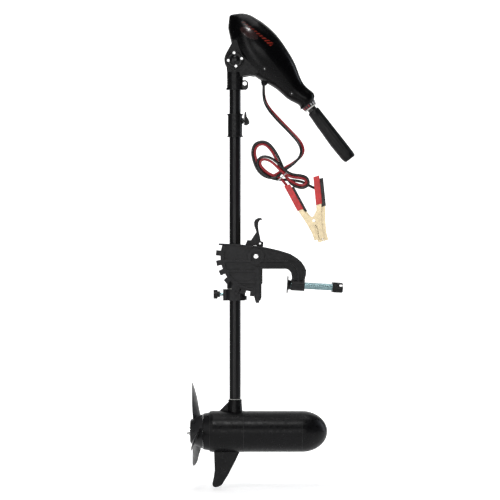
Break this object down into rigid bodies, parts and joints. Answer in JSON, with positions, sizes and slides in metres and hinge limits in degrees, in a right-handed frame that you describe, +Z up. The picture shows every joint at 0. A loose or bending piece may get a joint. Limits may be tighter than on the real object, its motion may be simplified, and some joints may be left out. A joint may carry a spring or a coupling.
{
  "type": "trolling motor",
  "caption": "Transom-mounted electric outboard with tilting yoke, sliding steered shaft, tilting control head, telescoping twist tiller, finned pod and battery leads with clips.",
  "frame": {"origin": "corner where the bracket's arms rest on the top aft edge of the transom, in the middle plane", "axes": "+X towards the boat (bow), +Z up along the shaft, +Y to port"},
  "size_m": [0.4138, 0.2088, 1.166],
  "materials": {
    "satin_black": "satin moulded nylon",
    "gloss_black": "high gloss",
    "cast_black": "satin powder coat",
    "shaft_black": "satin glass-filled composite",
    "zinc": "bright zinc plate",
    "steel": "bright steel",
    "rubber": "matte rubber",
    "prop_plastic": "satin glass-filled nylon",
    "white_plastic": "matte",
    "meter_red": "tinted clear window",
    "red_vinyl": "soft vinyl",
    "black_vinyl": "soft vinyl",
    "tie_grey": "matte",
    "jaw_brass": "bright yellow plate",
    "copper": "enamelled wire",
    "core_steel": "stacked sheets",
    "magnet": "ferrite",
    "bush_white": "acetal"
  },
  "bodies": {
    "bracket": {"transom_bracket": "cast_black", "transom_pad": "rubber", "pivot_bolt": "steel"},
    "pad_left": {"clamp_pad_left": "cast_black"},
    "pad_right": {"clamp_pad_right": "cast_black"},
    "screw_left": {"clamp_screw_left": "zinc", "clamp_handle_left": "satin_black"},
    "screw_right": {"clamp_screw_right": "zinc", "clamp_handle_right": "satin_black"},
    "yoke": {"swivel_housing": "cast_black", "tension_collar": "satin_black", "lever_pin": "steel"},
    "lever": {"release_lever": "satin_black"},
    "lock": {"lock_fork": "cast_black"},
    "friction_knob": {"tension_screw": "zinc", "tension_knob": "satin_black"},
    "steering": {"steering_bushes": "bush_white"},
    "column": {"shaft_tube": "shaft_black", "head_yoke": "satin_black", "yoke_bolt": "steel", "motor_hull": "cast_black", "nose_cone": "cast_black", "tail_housing": "cast_black", "shaft_socket": "satin_black", "skeg": "prop_plastic", "magnets": "magnet", "brush_gear": "satin_black", "bearings": "steel"},
    "rotor": {"rotor_shaft": "steel", "armature_core": "core_steel", "armature_windings": "copper", "propeller": "prop_plastic", "prop_nut": "steel"},
    "collar": {"depth_collar": "satin_black"},
    "collar_knob": {"wing_screw": "satin_black"},
    "head": {"meter_panel": "meter_red", "head_cover": "gloss_black", "head_housing": "satin_black", "hinge_discs": "satin_black", "hinge_screws": "steel", "cord_gland": "satin_black", "speed_switch": "satin_black", "scale_ring": "satin_black", "lead_red": "red_vinyl", "lead_black": "black_vinyl", "lead_hank": "black_vinyl", "lead_tie": "tie_grey", "red_clip_lever": "jaw_brass", "red_grip_lever": "red_vinyl", "black_clip_lever": "jaw_brass", "black_grip_lever": "black_vinyl", "clip_rivets": "steel"},
    "throttle": {"throttle_sleeve": "satin_black", "pointer_ring": "white_plastic"},
    "tiller": {"handle_tube": "steel", "grip": "rubber"},
    "red_jaw": {"red_clip_jaw": "jaw_brass", "red_grip_jaw": "red_vinyl"},
    "black_jaw": {"black_clip_jaw": "jaw_brass", "black_grip_jaw": "black_vinyl"}
  },
  "joints": [
    {"name": "tilt", "type": "hinge", "parent": "bracket", "child": "yoke", "pos_m": [-0.016, 0, 0.0308], "axis": [0, 1, 0], "range_deg": [0, 75]},
    {"name": "lever_swing", "type": "hinge", "parent": "yoke", "child": "lever", "pos_m": [-0.006, 0, 0.062], "axis": [0, 1, 0], "range_deg": [0, 25]},
    {"name": "lock_slide", "type": "slide", "parent": "yoke", "child": "lock", "axis": [0.4617, 0, 0.887], "range_m": [0, 0.012]},
    {"name": "friction_turn", "type": "hinge", "parent": "yoke", "child": "friction_knob", "pos_m": [-0.1, 0, -0.0625], "axis": [1, 0, 0], "range_deg": [-720, 0]},
    {"name": "steer", "type": "hinge", "parent": "yoke", "child": "steering", "pos_m": [-0.0675, 0, 0], "axis": [0, 0, 1], "continuous": true},
    {"name": "depth", "type": "slide", "parent": "steering", "child": "column", "axis": [0, 0, -1], "range_m": [-0.235, 0.262]},
    {"name": "collar_slide", "type": "slide", "parent": "column", "child": "collar", "axis": [0, 0, 1], "range_m": [-0.26, 0.05]},
    {"name": "collar_turn", "type": "hinge", "parent": "collar", "child": "collar_knob", "pos_m": [-0.045, 0, 0.364], "axis": [1, 0, 0], "range_deg": [-360, 0]},
    {"name": "spin", "type": "hinge", "parent": "column", "child": "rotor", "pos_m": [-0.1, 0, -0.4], "axis": [1, 0, 0], "continuous": true},
    {"name": "head_tilt", "type": "hinge", "parent": "column", "child": "head", "pos_m": [-0.0675, 0, 0.513], "axis": [0, -1, 0], "range_deg": [0, 60]},
    {"name": "throttle_turn", "type": "hinge", "parent": "head", "child": "throttle", "pos_m": [0.1198, 0, 0.3951], "axis": [0.6088, 0, -0.7933], "range_deg": [-60, 60]},
    {"name": "tiller_slide", "type": "slide", "parent": "throttle", "child": "tiller", "axis": [0.6088, 0, -0.7933], "range_m": [0, 0.15]},
    {"name": "red_jaw_open", "type": "hinge", "parent": "head", "child": "red_jaw", "pos_m": [0.1242, -0.105, 0.1176], "axis": [0, -1, 0], "range_deg": [0, 20], "stiffness_Nm_per_rad": 0.8, "springref_deg": -17.19},
    {"name": "black_jaw_open", "type": "hinge", "parent": "head", "child": "black_jaw", "pos_m": [0.1342, -0.08, 0.1126], "axis": [0, 1, 0], "range_deg": [0, 20], "stiffness_Nm_per_rad": 0.8, "springref_deg": -17.19},
    {"name": "pad_left_slide", "type": "slide", "parent": "bracket", "child": "pad_left", "axis": [-0.9983, 0, 0.0576], "range_m": [0, 0.054]},
    {"name": "screw_left_turn", "type": "hinge", "parent": "pad_left", "child": "screw_left", "pos_m": [0.07, -0.036, -0.0394], "axis": [-0.9983, 0, 0.0576], "range_deg": [0, 6480]},
    {"name": "pad_right_slide", "type": "slide", "parent": "bracket", "child": "pad_right", "axis": [-0.9983, 0, 0.0576], "range_m": [0, 0.054]},
    {"name": "screw_right_turn", "type": "hinge", "parent": "pad_right", "child": "screw_right", "pos_m": [0.07, 0.036, -0.0394], "axis": [-0.9983, 0, 0.0576], "range_deg": [0, 6480]}
  ],
  "couplings": [
    {"joint": "lock_slide", "follows": "lever_swing", "m_per_rad": 0.027502},
    {"joint": "screw_left_turn", "follows": "pad_left_slide", "rad_per_m": 2094.4},
    {"joint": "screw_right_turn", "follows": "pad_right_slide", "rad_per_m": 2094.4}
  ]
}
